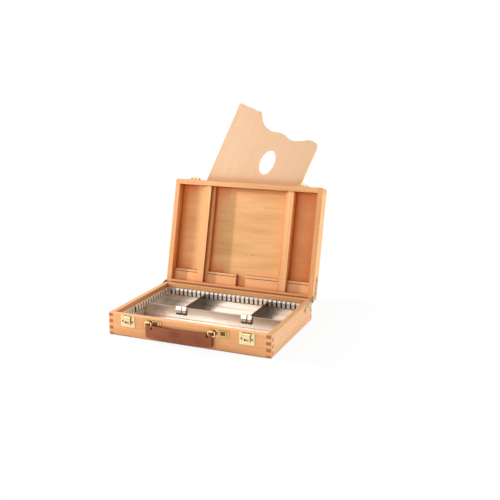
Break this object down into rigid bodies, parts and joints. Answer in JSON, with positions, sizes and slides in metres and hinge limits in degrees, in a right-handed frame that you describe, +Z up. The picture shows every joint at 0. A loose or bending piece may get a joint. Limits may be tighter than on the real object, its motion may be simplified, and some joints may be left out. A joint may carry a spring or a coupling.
{
  "type": "pochade box",
  "caption": "Wooden sketch box: a hinged lid with board bays, a metal-lined tray with lift-out dividers, a thumb-hole palette, brass latches and a leather handle.",
  "frame": {"origin": "bottom centre of the case, on the plane that it rests on", "axes": "+X to the right along the width, +Y from the latch side to the hinge side, +Z up"},
  "size_m": [0.3874, 0.413, 0.4786],
  "materials": {
    "oiled_beech": "oiled solid beech, satin",
    "plywood": "oiled birch plywood, satin",
    "palette_board": "pale oiled plywood, satin",
    "tinned_sheet": "bright tinned sheet",
    "brass_sheet": "polished brass-plated sheet",
    "brass_screw": "brass-plated screw",
    "handle_leather": "stitched brown leather"
  },
  "bodies": {
    "case": {"base_front_wall": "oiled_beech", "base_back_wall": "oiled_beech", "base_left_wall": "oiled_beech", "base_right_wall": "oiled_beech", "base_bottom_panel": "plywood", "metal_tray": "tinned_sheet", "hinge_base_arm_left": "brass_sheet", "hinge_base_arm_right": "brass_sheet", "hinge_rivet_left": "brass_sheet", "hinge_rivet_right": "brass_sheet", "hinge_base_screws": "brass_screw", "latch_plate_left": "brass_sheet", "latch_plate_right": "brass_sheet", "latch_pin_left": "brass_sheet", "latch_pin_right": "brass_sheet", "latch_screws": "brass_screw", "handle_plate_left": "brass_sheet", "handle_plate_right": "brass_sheet", "handle_screws": "brass_screw"},
    "lid": {"lid_front_wall": "oiled_beech", "lid_back_wall": "oiled_beech", "lid_left_wall": "oiled_beech", "lid_right_wall": "oiled_beech", "lid_outer_panel": "plywood", "lid_inner_panel": "plywood", "lid_rail_left": "oiled_beech", "lid_rail_right": "oiled_beech", "lid_ledge_left": "oiled_beech", "lid_ledge_centre_left": "oiled_beech", "lid_ledge_centre_right": "oiled_beech", "lid_ledge_right": "oiled_beech", "palette_floor_strip": "oiled_beech", "hinge_lid_arm_left": "brass_sheet", "hinge_lid_arm_right": "brass_sheet", "hinge_lid_screws": "brass_screw", "catch_left": "brass_sheet", "catch_right": "brass_sheet", "catch_screws": "brass_screw"},
    "palette_board": {"palette": "palette_board"},
    "divider_long": {"long_divider": "tinned_sheet"},
    "divider_left": {"cross_divider_left": "tinned_sheet"},
    "divider_right": {"cross_divider_right": "tinned_sheet"},
    "lever_left": {"latch_lever_left": "brass_sheet"},
    "lever_right": {"latch_lever_right": "brass_sheet"},
    "handle": {"handle_ring_left": "brass_sheet", "handle_ring_right": "brass_sheet", "handle_strap": "handle_leather"}
  },
  "joints": [
    {"name": "lid_hinge", "type": "hinge", "parent": "case", "child": "lid", "pos_m": [0, 0.1289, 0.047], "axis": [-1, 0, 0], "range_deg": [-104.5, 0]},
    {"name": "palette_slide", "type": "slide", "parent": "lid", "child": "palette_board", "axis": [0.342, 0.2353, 0.9098], "range_m": [0, 0.23]},
    {"name": "long_divider_lift", "type": "slide", "parent": "case", "child": "divider_long", "axis": [0, 0, 1], "range_m": [0, 0.045]},
    {"name": "left_divider_lift", "type": "slide", "parent": "divider_long", "child": "divider_left", "axis": [0, 0, 1], "range_m": [0, 0.045]},
    {"name": "right_divider_lift", "type": "slide", "parent": "divider_long", "child": "divider_right", "axis": [0, 0, 1], "range_m": [0, 0.045]},
    {"name": "left_lever_swing", "type": "hinge", "parent": "case", "child": "lever_left", "pos_m": [-0.1406, -0.13345, 0.0465], "axis": [-1, 0, 0], "range_deg": [0, 175]},
    {"name": "right_lever_swing", "type": "hinge", "parent": "case", "child": "lever_right", "pos_m": [0.1366, -0.13345, 0.0465], "axis": [-1, 0, 0], "range_deg": [0, 175]},
    {"name": "handle_swing", "type": "hinge", "parent": "case", "child": "handle", "pos_m": [-0.0148, -0.1346, 0.042], "axis": [-1, 0, 0], "range_deg": [0, 120]}
  ]
}
